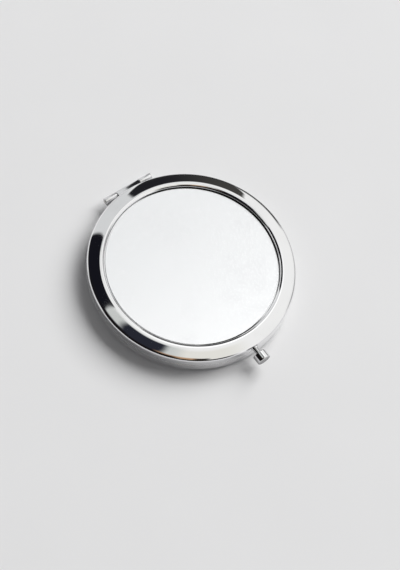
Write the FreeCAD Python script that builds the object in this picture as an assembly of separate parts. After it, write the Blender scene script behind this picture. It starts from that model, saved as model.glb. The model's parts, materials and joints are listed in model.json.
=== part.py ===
import FreeCAD, Part
import math
import os

# A round pocket compact, closed: two pressed halves on a pin hinge, two mirrors and a push-button latch.
# Millimetres, +Z up, origin at the centre of the bottom face, hinge at +Y and button at -Y.

# Pressed sheet of both halves
SHEET = 0.4
PARTING_GAP = 0.08
BEVEL_WIDTH = 4.6
BEVEL_DROP = 1.8
CORNER_INSIDE = 0.6

# Insert disc and the recess that it lies in
INSERT_DIAMETER = 58.0
INSERT_THICKNESS = 0.4
INSERT_DEPTH = 1.1
INSERT_GAP = 0.45
FILM_THICKNESS = 0.1
FILM_INSET = 0.5
RECESS_BEND = 0.2
LIP_INSIDE = 0.5
LIP_LAND = 0.05

# Mirrors, their pads and the rings that lap their edges
GLASS = 1.2
MIRROR_PAD = 0.3
MAGNIFIER_PAD = 0.9
MAGNIFIER_DISH = 0.65
PAD_INSET = 2.0
LID_RING = 0.75
BASE_RING = 1.05
RING_SEAT = 0.05
RING_RECESS = 0.21
RING_LAP = 0.8
RING_SLOPE = 0.8
RING_LIP = 0.25
RING_CLEARANCE = 0.05
NOTCH_CLEARANCE = 0.15

# Hinge
KNUCKLE_RADIUS = 1.15
LEAF_SHEET = 0.4
LID_STRAP_SLOPE = 14
CENTRE_KNUCKLE = 9.2
SIDE_KNUCKLE = 4.7
KNUCKLE_GAP = 0.2
HINGE_CLEARANCE = 0.2
SLOT_CLEARANCE = 0.05
FLANGE_MARGIN = 0.3
PIN_CLEARANCE = 0.03
PIN_PROUD = 0.25
PIN_CHAMFER = 0.2

# Push button, its bush and its spring
HEAD_DIAMETER = 4.8
HEAD_LENGTH = 3.0
HEAD_STANDOFF = 2.3
HEAD_CHAMFER = 0.3
NECK_DIAMETER = 1.8
SPIGOT_DIAMETER = 1.0
SPIGOT_PROUD = 0.6
BUSH_CLEARANCE = 0.05
BUSH_WALL = 0.2
BUSH_FLANGE = 0.15
BUSH_FLANGE_LENGTH = 0.5
BUSH_SEAT = 0.02
BUSH_PROUD = 0.3
WASHER_THICKNESS = 0.3
WASHER_DIAMETER = 1.8
SPIGOT_CLEARANCE = 0.02
SPRING_LENGTH = 3.4
SPRING_DIAMETER = 1.8
SPRING_WIRE = 0.24
SPRING_TURNS = 4.5
SPRING_SEAT = 0.02
BRACKET_SHEET = 0.4
BRACKET_WIDTH = 4.0
BRACKET_EAR_WIDTH = 0.8
BRACKET_EAR_LENGTH = 0.7
POCKET_SKIN = 0.3
POCKET_CLEARANCE = 0.05

# Latch plate and hooks
LATCH_SHEET = 0.4
LATCH_RISE = 1.0
HOOK_SHEET = 0.4
HOOK_WIDTH = 6.8
HOOK_OPENING = 3.4
HOOK_NOSE = 0.6
HOOK_NOSE_TIP = 0.1
HOOK_CLEARANCE = 0.15
TONGUE_CLEARANCE = 0.15
TONGUE_GAP = 0.1
TONGUE_RECESS = 0.1
PLATE_CLEARANCE = 0.3
RELEASE_MARGIN = 0.55
MIRROR_CLEARANCE = 0.4

# Radii of the case, from the insert outwards
RECESS_RADIUS = INSERT_DIAMETER / 2 + INSERT_GAP
LIP_RADIUS = SHEET + LIP_INSIDE
BEVEL_START = RECESS_RADIUS + LIP_RADIUS + LIP_LAND
CASE_RADIUS = BEVEL_START + BEVEL_WIDTH
WALL_INSIDE = CASE_RADIUS - SHEET

# The bevel is two tangent arcs: a wide one from the crest and a tight one at the wall
CORNER = SHEET + CORNER_INSIDE
BEVEL_ARC = ((BEVEL_WIDTH - CORNER) ** 2 + BEVEL_DROP**2 - CORNER**2) / (2 * (BEVEL_DROP - CORNER))
BEVEL_TURN = math.atan2(BEVEL_WIDTH - CORNER, BEVEL_ARC - BEVEL_DROP)

# Depths below the lid's crest and heights above the bottom
RECESS_FLOOR = INSERT_DEPTH + INSERT_THICKNESS + FILM_THICKNESS
LID_DEPTH = RECESS_FLOOR + SHEET + MIRROR_PAD + GLASS + LID_RING + RING_RECESS
BASE_DEPTH = SHEET + MAGNIFIER_PAD + GLASS + MAGNIFIER_DISH + RING_SEAT + BASE_RING + RING_RECESS
PARTING = BASE_DEPTH + PARTING_GAP / 2
TOP = BASE_DEPTH + PARTING_GAP + LID_DEPTH
INSERT_TOP = TOP - INSERT_DEPTH
FLOOR_UNDERSIDE = TOP - RECESS_FLOOR - SHEET
MIRROR_BACK = FLOOR_UNDERSIDE - MIRROR_PAD
MIRROR_FACE = MIRROR_BACK - GLASS
LID_RING_FACE = MIRROR_FACE - LID_RING
BASE_RING_FACE = BASE_DEPTH - RING_RECESS
MAGNIFIER_FACE = SHEET + MAGNIFIER_PAD + GLASS

# Hinge axis and the strap that leads from the knuckles to each half
HINGE_Y = CASE_RADIUS + HINGE_CLEARANCE + KNUCKLE_RADIUS
KNUCKLE_BORE = KNUCKLE_RADIUS - LEAF_SHEET
BARREL_LENGTH = CENTRE_KNUCKLE + 2 * KNUCKLE_GAP + 2 * SIDE_KNUCKLE
STRAP_INSIDE = WALL_INSIDE - LEAF_SHEET

# Distances of the latch pieces from the case's axis, towards the button, from the wall inwards
HOOK_OUTSIDE = math.sqrt(WALL_INSIDE**2 - (HOOK_WIDTH / 2) ** 2) - HOOK_CLEARANCE
HOOK_INSIDE = HOOK_OUTSIDE - HOOK_SHEET
NOSE_TIP = HOOK_INSIDE - HOOK_NOSE
TONGUE_TIP = HOOK_INSIDE - TONGUE_CLEARANCE
PLATE_OUTSIDE = NOSE_TIP - PLATE_CLEARANCE
PLATE_INSIDE = PLATE_OUTSIDE - LATCH_SHEET
WASHER_INSIDE = PLATE_INSIDE - WASHER_THICKNESS
BRACKET_OUTSIDE = WASHER_INSIDE - SPRING_LENGTH
BRACKET_INSIDE = BRACKET_OUTSIDE - BRACKET_SHEET
MIRROR_RADIUS = BRACKET_INSIDE - MIRROR_CLEARANCE
STROKE = TONGUE_TIP - NOSE_TIP + RELEASE_MARGIN

# Heights of the latch pieces
POCKET_FLOOR = LID_RING_FACE + POCKET_SKIN
BUTTON_Z = (POCKET_FLOOR + FLOOR_UNDERSIDE) / 2
TONGUE_BOTTOM = LID_RING_FACE + TONGUE_RECESS
TONGUE_TOP = TONGUE_BOTTOM + LATCH_SHEET
NOSE_BOTTOM = TONGUE_TOP + TONGUE_GAP
HOOK_TOP = NOSE_BOTTOM + HOOK_SHEET

V = FreeCAD.Vector
ORIGIN = V(0, 0, 0)
UP = V(0, 0, 1)
ACROSS = V(1, 0, 0)
INWARD = V(0, 1, 0)


def outline(start, *steps):
    """Closed wire. A step is the next point, or a centre and a point for an arc under a half circle."""
    edges = []
    here = start
    for step in (*steps, start):
        if isinstance(step, tuple):
            centre, there = step
            bisector = (here - centre) + (there - centre)
            bisector.normalize()
            middle = centre + bisector * here.distanceToPoint(centre)
            edges.append(Part.Arc(here, middle, there).toShape())
        else:
            there = step
            edges.append(Part.LineSegment(here, there).toShape())
        here = there
    return Part.Wire(edges)


def turned(wire):
    """Solid of revolution about the case's axis."""
    return Part.Face(wire).revolve(ORIGIN, UP, 360)


def disc(radius, bottom, top):
    return Part.makeCylinder(radius, top - bottom, V(0, 0, bottom))


def box(x, y, z):
    """Block between two limits along each axis."""
    return Part.makeBox(x[1] - x[0], y[1] - y[0], z[1] - z[0], V(x[0], y[0], z[0]))


def rod(radius, outer, inner):
    """Cylinder on the button's axis between two distances from the case's axis."""
    return Part.makeCylinder(radius, outer - inner, V(0, -outer, BUTTON_Z), INWARD)


def barrel(radius, x0, x1):
    """Cylinder on the hinge's axis."""
    return Part.makeCylinder(radius, x1 - x0, V(x0, HINGE_Y, PARTING), ACROSS)


def extruded(points, x0, x1):
    """Prism with an outline of (distance towards the button, height) points, between two values of X."""
    corners = [V(x0, -distance, z) for distance, z in points]
    return Part.Face(outline(*corners)).extrude(V(x1 - x0, 0, 0))


def pressed_half(place, depth, panel, panel_back):
    """Sheet half. place turns a radius and a depth below the crest into a point."""
    wide = place(BEVEL_START, BEVEL_ARC)
    tight = place(CASE_RADIUS - CORNER, BEVEL_DROP)

    def joint(offset):
        radius = BEVEL_ARC - offset
        return place(
            BEVEL_START + radius * math.sin(BEVEL_TURN),
            BEVEL_ARC - radius * math.cos(BEVEL_TURN),
        )

    rim = [
        place(BEVEL_START, 0),
        (wide, joint(0)),
        (tight, place(CASE_RADIUS, BEVEL_DROP)),
        place(CASE_RADIUS, depth),
        place(WALL_INSIDE, depth),
        place(WALL_INSIDE, BEVEL_DROP),
        (tight, joint(SHEET)),
        (wide, place(BEVEL_START, SHEET)),
    ]
    return turned(outline(*panel, *rim, *panel_back))


def knuckle_spans(side):
    """Limits along X of the knuckles: the lid (1) has the centre one, the base (-1) the outer two."""
    half = CENTRE_KNUCKLE / 2
    if side > 0:
        return [(-half, half)]
    near = half + KNUCKLE_GAP
    far = BARREL_LENGTH / 2
    return [(-far, -near), (near, far)]


def strap(side, x0, x1, room=0):
    """Sheet through the wall, tangent to the knuckles above (1) or below (-1) the pin, with room around it."""
    turn = math.radians(LID_STRAP_SLOPE if side > 0 else 0)
    outward = V(0, math.sin(turn), side * math.cos(turn))
    inner_end = math.sqrt(STRAP_INSIDE**2 - max(abs(x0), abs(x1)) ** 2)
    reach = V(0, -math.cos(turn), side * math.sin(turn)) * ((HINGE_Y - inner_end) / math.cos(turn))
    pin = V(x0 - room, HINGE_Y, PARTING)
    front = pin + outward * (KNUCKLE_RADIUS + room)
    back = pin + outward * (KNUCKLE_BORE - room)
    return Part.Face(outline(front, back, back + reach, front + reach)).extrude(V(x1 - x0 + 2 * room, 0, 0))


def with_hinge_slots(shell, side):
    """Slots in the wall that the straps pass through."""
    for x0, x1 in knuckle_spans(side):
        shell = shell.cut(strap(side, x0, x1, SLOT_CLEARANCE))
    return shell


def base_shell():
    shell = pressed_half(
        lambda radius, depth: V(radius, 0, depth),
        BASE_DEPTH,
        [V(0, 0, 0)],
        [V(0, 0, SHEET)],
    )
    return with_hinge_slots(shell, -1)


def lid_shell():
    def place(radius, depth):
        return V(radius, 0, TOP - depth)

    bend = place(RECESS_RADIUS - RECESS_BEND, RECESS_FLOOR - RECESS_BEND)
    lip = place(RECESS_RADIUS + LIP_RADIUS, LIP_RADIUS)
    face = [
        place(0, RECESS_FLOOR),
        place(RECESS_RADIUS - RECESS_BEND, RECESS_FLOOR),
        (bend, place(RECESS_RADIUS, RECESS_FLOOR - RECESS_BEND)),
        place(RECESS_RADIUS, LIP_RADIUS),
        (lip, place(RECESS_RADIUS + LIP_RADIUS, 0)),
    ]
    back = [
        place(RECESS_RADIUS + LIP_RADIUS, SHEET),
        (lip, place(RECESS_RADIUS + SHEET, LIP_RADIUS)),
        place(RECESS_RADIUS + SHEET, RECESS_FLOOR - RECESS_BEND),
        (bend, place(RECESS_RADIUS - RECESS_BEND, RECESS_FLOOR + SHEET)),
        place(0, RECESS_FLOOR + SHEET),
    ]
    shell = pressed_half(place, LID_DEPTH, face, back)
    hole = rod(bush_radius() + BUSH_SEAT, CASE_RADIUS + SHEET, HOOK_INSIDE)
    return with_hinge_slots(shell, 1).cut(hole)


def insert_film():
    top = INSERT_TOP - INSERT_THICKNESS
    return disc(INSERT_DIAMETER / 2 - FILM_INSET, top - FILM_THICKNESS, top)


def insert_disc():
    return disc(INSERT_DIAMETER / 2, INSERT_TOP - INSERT_THICKNESS, INSERT_TOP)


def mirror_pad():
    return disc(MIRROR_RADIUS - PAD_INSET, MIRROR_BACK, FLOOR_UNDERSIDE)


def plain_mirror():
    return disc(MIRROR_RADIUS, MIRROR_FACE, MIRROR_BACK)


def dish_radius():
    return (MIRROR_RADIUS**2 + MAGNIFIER_DISH**2) / (2 * MAGNIFIER_DISH)


def dished(radius, offset):
    """Point of the dished glass at a radius, on its face or an offset behind the face."""
    curve = dish_radius() + offset
    centre = MAGNIFIER_FACE + dish_radius()
    return V(radius, 0, centre - math.sqrt(curve**2 - radius**2))


def magnifying_mirror():
    centre = V(0, 0, MAGNIFIER_FACE + dish_radius())
    wire = outline(
        dished(0, 0),
        (centre, dished(MIRROR_RADIUS, 0)),
        dished(MIRROR_RADIUS, GLASS),
        (centre, dished(0, GLASS)),
    )
    return turned(wire)


def magnifier_pad():
    centre = V(0, 0, MAGNIFIER_FACE + dish_radius())
    radius = MIRROR_RADIUS - PAD_INSET
    wire = outline(
        V(0, 0, SHEET),
        V(radius, 0, SHEET),
        dished(radius, GLASS),
        (centre, dished(0, GLASS)),
    )
    return turned(wire)


def ring(face, back):
    """Flat ring with a sloping inner edge that laps the mirror."""
    inner = MIRROR_RADIUS - RING_LAP
    outer = WALL_INSIDE - RING_CLEARANCE
    edge = back + math.copysign(RING_LIP, face - back)
    wire = outline(
        V(inner, 0, back),
        V(inner, 0, edge),
        V(inner + RING_SLOPE, 0, face),
        V(outer, 0, face),
        V(outer, 0, back),
    )
    return turned(wire)


def hinge_notch(bottom, top):
    """Room behind a hinge leaf's flange."""
    half = BARREL_LENGTH / 2 + NOTCH_CLEARANCE
    room = box((-half, half), (0, CASE_RADIUS), (bottom, top))
    return room.cut(disc(STRAP_INSIDE - NOTCH_CLEARANCE, bottom, top))


def base_ring():
    back = BASE_RING_FACE - BASE_RING
    half = HOOK_WIDTH / 2 + NOTCH_CLEARANCE
    hook_room = box((-half, half), (-CASE_RADIUS, NOTCH_CLEARANCE - HOOK_INSIDE), (back, BASE_RING_FACE))
    return ring(BASE_RING_FACE, back).cut(hinge_notch(back, BASE_RING_FACE)).cut(hook_room)


def lid_ring():
    half = HOOK_WIDTH / 2 + NOTCH_CLEARANCE
    pressed = PLATE_INSIDE - STROKE - NOTCH_CLEARANCE
    window = box((-half, half), (-CASE_RADIUS, -pressed), (LID_RING_FACE, MIRROR_FACE))
    half_pocket = BRACKET_WIDTH / 2 + NOTCH_CLEARANCE
    pocket = box(
        (-half_pocket, half_pocket),
        (-pressed, NOTCH_CLEARANCE - BRACKET_INSIDE),
        (POCKET_FLOOR, MIRROR_FACE),
    )
    notch = hinge_notch(LID_RING_FACE, MIRROR_FACE)
    return ring(LID_RING_FACE, MIRROR_FACE).cut(notch).cut(window).cut(pocket)


def hinge_leaf(side):
    """Knuckles, straps through the wall, and a flange along the inside of the wall."""
    if side > 0:
        flange_heights = (PARTING + KNUCKLE_BORE, TOP - BEVEL_DROP - FLANGE_MARGIN)
    else:
        flange_heights = (BEVEL_DROP + FLANGE_MARGIN, PARTING - KNUCKLE_BORE)
    spans = knuckle_spans(side)
    reach = (spans[0][0], spans[-1][1])
    room = disc(WALL_INSIDE, *flange_heights).cut(disc(STRAP_INSIDE, *flange_heights))
    leaf = room.common(box(reach, (0, CASE_RADIUS), flange_heights))
    core = disc(STRAP_INSIDE, 0, TOP)
    for x0, x1 in spans:
        leaf = leaf.fuse(strap(side, x0, x1).cut(core)).fuse(barrel(KNUCKLE_RADIUS, x0, x1))
    bore = barrel(KNUCKLE_BORE, *reach)
    return leaf.cut(bore).removeSplitter()


def base_hinge_leaf():
    return hinge_leaf(-1)


def lid_hinge_leaf():
    return hinge_leaf(1)


def hinge_pin():
    half = BARREL_LENGTH / 2 + PIN_PROUD
    pin = barrel(KNUCKLE_BORE - PIN_CLEARANCE, -half, half)
    ends = [edge for edge in pin.Edges if edge.Closed]
    return pin.makeChamfer(PIN_CHAMFER, ends)


def bush_radius():
    return NECK_DIAMETER / 2 + BUSH_CLEARANCE + BUSH_WALL


def button_bush():
    """Flanged sleeve, turned over inside the wall."""
    face = CASE_RADIUS + BUSH_SEAT
    end = WALL_INSIDE - BUSH_PROUD
    flange = bush_radius() + BUSH_FLANGE
    sleeve = rod(bush_radius(), face, end)
    outer = rod(flange, face + BUSH_FLANGE_LENGTH, face)
    turned_over = rod(flange, wall_seat(flange), end)
    bore = rod(NECK_DIAMETER / 2 + BUSH_CLEARANCE, face + BUSH_FLANGE_LENGTH, end)
    return sleeve.fuse(outer).fuse(turned_over).cut(bore).removeSplitter()


def wall_seat(half_width):
    """Distance of a flat face that clears the inside of the round wall over a half width."""
    return math.sqrt(WALL_INSIDE**2 - half_width**2) - BUSH_SEAT


def push_button():
    back = CASE_RADIUS + HEAD_STANDOFF
    head = rod(HEAD_DIAMETER / 2, back + HEAD_LENGTH, back)
    rims = [edge for edge in head.Edges if edge.Closed]
    head = head.makeChamfer(HEAD_CHAMFER, rims)
    neck = rod(NECK_DIAMETER / 2, back, PLATE_OUTSIDE)
    spigot = rod(SPIGOT_DIAMETER / 2, PLATE_OUTSIDE, WASHER_INSIDE - SPIGOT_PROUD)
    return head.fuse(neck).fuse(spigot).removeSplitter()


def retaining_washer():
    washer = rod(WASHER_DIAMETER / 2, PLATE_INSIDE, WASHER_INSIDE)
    return washer.cut(rod(SPIGOT_DIAMETER / 2 + SPIGOT_CLEARANCE, PLATE_INSIDE, WASHER_INSIDE))


def latch_plate():
    """Upright plate on the spigot with two tongues bent outwards under the hooks."""
    half = HOOK_WIDTH / 2
    plate = box((-half, half), (-PLATE_OUTSIDE, -PLATE_INSIDE), (TONGUE_BOTTOM, BUTTON_Z + LATCH_RISE))
    tongue = box((-half, half), (-TONGUE_TIP, -PLATE_OUTSIDE), (TONGUE_BOTTOM, TONGUE_TOP))
    opening = box(
        (-HOOK_OPENING / 2, HOOK_OPENING / 2),
        (-TONGUE_TIP, -PLATE_OUTSIDE),
        (TONGUE_BOTTOM, TONGUE_TOP),
    )
    hole = rod(SPIGOT_DIAMETER / 2 + SPIGOT_CLEARANCE, PLATE_OUTSIDE, PLATE_INSIDE)
    return plate.fuse(tongue.cut(opening)).cut(hole).removeSplitter()


def catch_hook():
    """Block on the base's wall with two uprights whose sloping noses point inwards."""
    half = HOOK_WIDTH / 2
    heights = (BEVEL_DROP + FLANGE_MARGIN, BASE_RING_FACE)
    foot = box((-half, half), (-CASE_RADIUS, -HOOK_INSIDE), heights)
    hook = foot.common(disc(WALL_INSIDE, *heights))
    upright = [
        (HOOK_OUTSIDE, BASE_RING_FACE),
        (HOOK_OUTSIDE, HOOK_TOP),
        (HOOK_INSIDE, HOOK_TOP),
        (NOSE_TIP, NOSE_BOTTOM + HOOK_NOSE_TIP),
        (NOSE_TIP, NOSE_BOTTOM),
        (HOOK_INSIDE, NOSE_BOTTOM),
        (HOOK_INSIDE, BASE_RING_FACE),
    ]
    for x0, x1 in ((-half, -HOOK_OPENING / 2), (HOOK_OPENING / 2, half)):
        hook = hook.fuse(extruded(upright, x0, x1))
    return hook.removeSplitter()


def spring_bracket():
    """Upright plate under the recess floor with an ear on each side of the spring."""
    half = BRACKET_WIDTH / 2
    heights = (POCKET_FLOOR + POCKET_CLEARANCE, FLOOR_UNDERSIDE)
    bracket = box((-half, half), (-BRACKET_OUTSIDE, -BRACKET_INSIDE), heights)
    ear_heights = (FLOOR_UNDERSIDE - BRACKET_SHEET, FLOOR_UNDERSIDE)
    ear_reach = (-BRACKET_OUTSIDE - BRACKET_EAR_LENGTH, -BRACKET_OUTSIDE)
    for x0 in (-half, half - BRACKET_EAR_WIDTH):
        bracket = bracket.fuse(box((x0, x0 + BRACKET_EAR_WIDTH), ear_reach, ear_heights))
    return bracket.removeSplitter()


def spring_point(turn):
    """Point and direction of the wire's centre line after a number of turns."""
    radius = (SPRING_DIAMETER - SPRING_WIRE) / 2
    length = SPRING_LENGTH - SPRING_WIRE - 2 * SPRING_SEAT
    pitch = length / SPRING_TURNS
    angle = 2 * math.pi * turn
    start = SPRING_SEAT + SPRING_WIRE / 2 - WASHER_INSIDE
    point = V(radius * math.cos(angle), start + pitch * turn, BUTTON_Z + radius * math.sin(angle))
    heading = V(-radius * math.sin(angle), pitch / (2 * math.pi), radius * math.cos(angle))
    return point, heading.normalize()


def tangent_arc(start, heading, end):
    """Arc that leaves start along heading and reaches end."""
    chord = end - start
    along = V(chord).normalize()
    side = (heading - along * heading.dot(along)).normalize()
    half_turn = heading.getAngle(along)
    middle = (start + end) * 0.5 + side * (chord.Length / 2 * math.tan(half_turn / 2))
    return Part.Arc(start, middle, end).toShape()


def biarc(here, there):
    """Two tangent arcs between two points with given directions."""
    start, leave = here
    end, arrive = there
    span = end - start
    both = leave + arrive
    bend = 2 * (1 - leave.dot(arrive))
    reach = (math.sqrt(span.dot(both) ** 2 + bend * span.dot(span)) - span.dot(both)) / bend
    meet = (start + end + (leave - arrive) * reach) * 0.5
    return [tangent_arc(start, leave, meet), tangent_arc(end, arrive * -1, meet)]


def button_spring():
    """Open coil on the button's axis, one unbroken wire."""
    quarters = round(SPRING_TURNS * 4)
    stations = [spring_point(SPRING_TURNS * i / quarters) for i in range(quarters + 1)]
    edges = []
    for here, there in zip(stations, stations[1:]):
        edges += biarc(here, there)
    start, heading = stations[0]
    section = Part.Wire([Part.Circle(start, heading, SPRING_WIRE / 2).toShape()])
    return Part.Wire(edges).makePipeShell([section], True, False)


def spring_gap():
    """Least gap between neighbouring turns, measured on points of the centre line."""
    steps = 48
    points = [spring_point(SPRING_TURNS * i / steps)[0] for i in range(steps + 1)]
    per_turn = steps / SPRING_TURNS
    apart = [
        a.distanceToPoint(b)
        for i, a in enumerate(points)
        for j, b in enumerate(points)
        if j - i > per_turn / 2
    ]
    return min(apart) - SPRING_WIRE


NODES = [
    base_shell,
    magnifier_pad,
    magnifying_mirror,
    base_ring,
    base_hinge_leaf,
    hinge_pin,
    catch_hook,
    lid_shell,
    insert_film,
    insert_disc,
    mirror_pad,
    plain_mirror,
    lid_ring,
    lid_hinge_leaf,
    button_bush,
    spring_bracket,
    button_spring,
    push_button,
    latch_plate,
    retaining_washer,
]

os.makedirs("parts", exist_ok=True)
for make in NODES:
    make().exportStep("parts/" + make.__name__ + ".step")

print("case diameter %.2f, thickness %.2f, parting height %.3f" % (2 * CASE_RADIUS, TOP, PARTING))
print("hinge axis y %.3f, z %.3f" % (HINGE_Y, PARTING))
print("button axis z %.3f, stroke %.3f" % (BUTTON_Z, STROKE))
print("insert face z %.3f, mirror diameter %.3f" % (INSERT_TOP, 2 * MIRROR_RADIUS))
print("least gap between spring turns %.3f" % spring_gap())
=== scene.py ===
import json
import math
from dataclasses import dataclass

import bmesh
import bpy
from mathutils import Matrix, Vector


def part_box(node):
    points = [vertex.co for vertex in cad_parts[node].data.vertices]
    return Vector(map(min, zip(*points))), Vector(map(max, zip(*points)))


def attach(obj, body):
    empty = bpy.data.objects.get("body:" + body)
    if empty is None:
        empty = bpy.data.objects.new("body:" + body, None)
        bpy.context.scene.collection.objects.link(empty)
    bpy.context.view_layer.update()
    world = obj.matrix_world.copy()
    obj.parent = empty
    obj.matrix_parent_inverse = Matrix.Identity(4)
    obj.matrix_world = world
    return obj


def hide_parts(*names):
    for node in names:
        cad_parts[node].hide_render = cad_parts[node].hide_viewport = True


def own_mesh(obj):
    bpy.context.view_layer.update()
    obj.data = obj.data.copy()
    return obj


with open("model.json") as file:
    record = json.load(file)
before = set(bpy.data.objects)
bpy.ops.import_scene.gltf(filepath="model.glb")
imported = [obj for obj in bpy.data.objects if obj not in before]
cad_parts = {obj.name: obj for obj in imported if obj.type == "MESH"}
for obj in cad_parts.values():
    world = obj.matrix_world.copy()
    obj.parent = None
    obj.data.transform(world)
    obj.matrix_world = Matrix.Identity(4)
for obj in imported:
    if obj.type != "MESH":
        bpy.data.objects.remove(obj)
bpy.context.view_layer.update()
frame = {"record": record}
MM = 0.001


def corners(node):
    """Lowest and highest corner of a CAD node, in millimetres."""
    low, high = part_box(node)
    return Vector(low) / MM, Vector(high) / MM


def sine(degrees):
    """Sine of an angle in degrees."""
    return math.sin(math.radians(degrees))


def cosine(degrees):
    """Cosine of an angle in degrees."""
    return math.cos(math.radians(degrees))


def half_angle(half, radius):
    """Degrees that half a width takes up on a circle."""
    return math.degrees(math.asin(half / radius))


def direction(azimuth, elevation=0.0):
    """Unit vector from the object; azimuth from +X towards +Y."""
    level = cosine(elevation)
    return Vector((level * cosine(azimuth), level * sine(azimuth), sine(elevation)))


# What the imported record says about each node
BODY = {node: body for body, nodes in frame["record"]["behaviour"]["bodies"].items() for node in nodes}
COLOUR = {row["slot"]: row["base_color"] for row in frame["record"]["materials"]}
JOINT = {row["name"]: row for row in frame["record"]["behaviour"]["joints"]}

# Sizes of the pressed halves in millimetres, as in the part's source
SHEET = 0.4
BEVEL_WIDTH = 4.6
BEVEL_DROP = 1.8
CORNER = 1.0
LIP = 0.9
LIP_LAND = 0.05
RECESS_BEND = 0.2
LID_LOW, LID_HIGH = corners("lid_shell")
BASE_EDGE = corners("base_shell")[1].z
CASE_RADIUS = LID_HIGH.x
BEVEL_START = CASE_RADIUS - BEVEL_WIDTH
RECESS_RADIUS = BEVEL_START - LIP_LAND - LIP
BEVEL_ARC = ((BEVEL_WIDTH - CORNER) ** 2 + BEVEL_DROP**2 - CORNER**2) / (2 * (BEVEL_DROP - CORNER))
BEVEL_TURN = math.degrees(math.atan2(BEVEL_WIDTH - CORNER, BEVEL_ARC - BEVEL_DROP))

# Sizes of the hinge in millimetres, with its roll and slope in degrees
HINGE_Y = JOINT["lid_hinge"]["pos_m"][1] / MM
HINGE_Z = JOINT["lid_hinge"]["pos_m"][2] / MM
KNUCKLE = 1.15
KNUCKLE_ROLL = 296
LID_STRAP_SLOPE = 14
CENTRE_KNUCKLE = 9.2
KNUCKLE_GAP = 0.2
SIDE_KNUCKLE = 4.7
KNUCKLE_NEAR = CENTRE_KNUCKLE / 2 + KNUCKLE_GAP
KNUCKLE_FAR = KNUCKLE_NEAR + SIDE_KNUCKLE
STRAP_INSIDE = CASE_RADIUS - SHEET - SHEET
PIN_CROWN = 0.2

# Sizes of the button and the latch in millimetres
BUTTON_Z = (corners("push_button")[0].z + corners("push_button")[1].z) / 2
BUTTON_FACE = corners("push_button")[0].y + 0.05
HEAD_BACK = CASE_RADIUS + 2.3
HEAD_ROUND = 0.3
NECK = 0.9
NECK_ROOM = 0.02
SPIGOT = 0.5
SPIGOT_ROOM = 0.02
BUSH_BORE = NECK + 0.05
BUSH_FLANGE = 0.15
BUSH_ROOM = 0.02
SPRING_WIRE = 0.24
SPRING_TURNS = 4.5
SPRING_STEPS = 28
TONGUE = 0.75
PLATE_BEND = 0.1
EAR = 0.8
HOOK_HALF = 3.4
HOOK_OPENING = 1.7
HOOK_SPANS = ((-HOOK_HALF, -HOOK_OPENING), (HOOK_OPENING, HOOK_HALF))
HOOK_NOSE = 0.6
HOOK_ROOT = 0.2
NOSE_EDGE = 0.1

# Sizes of the mirrors and their rings in millimetres, and the sides of the case in degrees
GLASS = 1.2
MIRROR_RADIUS = corners("plain_mirror")[1].x
MIRROR_EDGE = MIRROR_RADIUS - 0.12
RING_INSIDE = MIRROR_RADIUS - 0.8
RING_SLOPE = 0.8
RING_LIP = 0.25
RING_ROOM = 0.05
POCKET_SKIN = 0.3
NOTCH = 0.15
HINGE_SIDE = 90
FRONT_SIDE = 270

# Widths of the eased edges in millimetres
SHEET_EASE = 0.05
TURNED_EASE = 0.05
KNUCKLE_EASE = 0.07
RING_EASE = 0.06
RING_UNEASED = 0.1
BLOCK_EASE = 0.06
FINE_EASE = 0.04
HOOK_EASE = 0.03
DISC_EASE = 0.08
PAD_EASE = 0.08
GLASS_EASE = 0.1
FILM_EASE = 0.02

# How the meshes are made: steps in a full turn, a strip beside an edge and an endless reach in
# millimetres, the distance in metres of points that merge or lie on a cut, and a sharp edge's angle
AROUND = 240
STRIP = 0.12
EVERYWHERE = 1000.0
MERGE = 1e-7
ON_CUT = 1e-8
SHARP = math.radians(35)

# Where shade is painted dark in the groove round the disc: radii, heights and fades in millimetres,
# and the azimuth of each side that holds it, with the cosines between which the side fades in
GROOVE_INNER = RECESS_RADIUS - 0.5
GROOVE_OUTER = RECESS_RADIUS + 0.1
GROOVE_TOP = LID_HIGH.z - LIP - 0.3
GROOVE_INNER_FADE = 0.05
GROOVE_OUTER_FADE = 0.1
GROOVE_TOP_FADE = 0.5
SHADE_RISE = 0.4
SHADE_BACK = (28, 0.35, 0.7)
SHADE_FRONT = (-97, 0.9, 0.97)
SHADE_TALLEST = (17, 0.88, 0.97)

# Fixed colours of the finishes, the noise that makes a hairline, and the axes of two flat views
# Painted shade, dark in the groove round the disc
GROOVE_SHADE_TONE = (0.03, 0.028, 0.025, 1.0)
DUST_TONE = (0.75, 0.74, 0.72, 1.0)
GROUND_EDGE_TONE = (0.42, 0.55, 0.5, 1.0)
FLOOR_TONES = ((0.8, 0.8, 0.8, 1.0), (0.83, 0.83, 0.83, 1.0))
HAIRLINE = (0.62, 0.74)
FROM_ABOVE = (1, 1, 0)
FROM_FRONT = (1, 0, 1)

# The photograph's camera: degrees round the object, and the pixel that shows a point on the case's axis
VIEW_AZIMUTH = -52.3
VIEW_ELEVATION = 62.25
VIEW_ROLL = 17.6
VIEW_DISTANCE = 550.0
VIEW_POINT_Z = 7.67
VIEW_PIXEL = (192.25, 265.0)
PIXELS_PER_MM = 3.017
IMAGE = (400, 570)
SENSOR = 36.0
VIEW_BACK = direction(VIEW_AZIMUTH - 90, VIEW_ELEVATION)


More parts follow.
